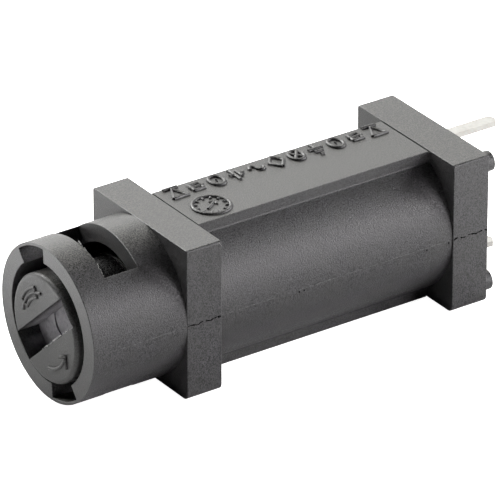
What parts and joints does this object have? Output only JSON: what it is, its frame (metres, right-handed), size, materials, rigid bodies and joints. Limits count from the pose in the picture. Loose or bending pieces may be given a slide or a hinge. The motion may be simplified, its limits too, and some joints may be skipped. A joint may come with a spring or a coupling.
{
  "type": "cartridge fuse holder",
  "caption": "Upright circuit-board holder for a small glass cartridge fuse, with a turn-and-lift bayonet cap, square flanges, standoff feet and flat solder pins.",
  "frame": {"origin": "on the long axis, in the plane through the tips of the four standoff feet, where the circuit board's face is", "axes": "+X along the holder, from the bayonet cap towards the board; +Y across; +Z from the lower solder pin to the upper one, up as the holder lies on its flanges"},
  "size_m": [0.0465, 0.0142, 0.0142],
  "materials": {
    "housing_plastic": "fine spark-eroded grain, black glass-filled nylon",
    "cap_plastic": "fine grain, black glass-filled nylon",
    "tin": "tin-plated brass, bright",
    "spring_steel": "nickel-plated spring wire",
    "contact_brass": "turned, nickel-flashed brass",
    "clip_bronze": "silver-flashed bronze",
    "fuse_end_metal": "nickel-plated brass",
    "fuse_glass": "clear glass",
    "fuse_wire": "tinned copper wire",
    "solder": "soft solder"
  },
  "bodies": {
    "holder": {"housing": "housing_plastic", "rear_plug": "housing_plastic", "side_terminal": "tin", "rear_terminal": "tin", "contact_spring": "spring_steel"},
    "fuse": {"fuse_tube": "fuse_glass", "fuse_end_front": "fuse_end_metal", "fuse_end_rear": "fuse_end_metal", "fuse_wire": "fuse_wire", "solder_front": "solder", "solder_rear": "solder"},
    "carrier": {"carrier_cap": "cap_plastic", "carrier_ferrule": "tin", "fuse_clip": "clip_bronze"},
    "plunger": {"contact_plunger": "contact_brass"}
  },
  "joints": [
    {"name": "carrier_withdraw", "type": "slide", "parent": "holder", "child": "fuse", "axis": [-1, 0, 0], "range_m": [0, 0.036]},
    {"name": "carrier_turn", "type": "hinge", "parent": "fuse", "child": "carrier", "pos_m": [-0.04, 0.0001, -0.00048], "axis": [1, 0, 0], "range_deg": [-54, 0]},
    {"name": "plunger_press", "type": "slide", "parent": "holder", "child": "plunger", "axis": [1, 0, 0], "range_m": [0, 0.0012], "stiffness_N_per_m": 400, "deforming": ["contact_spring"]}
  ]
}
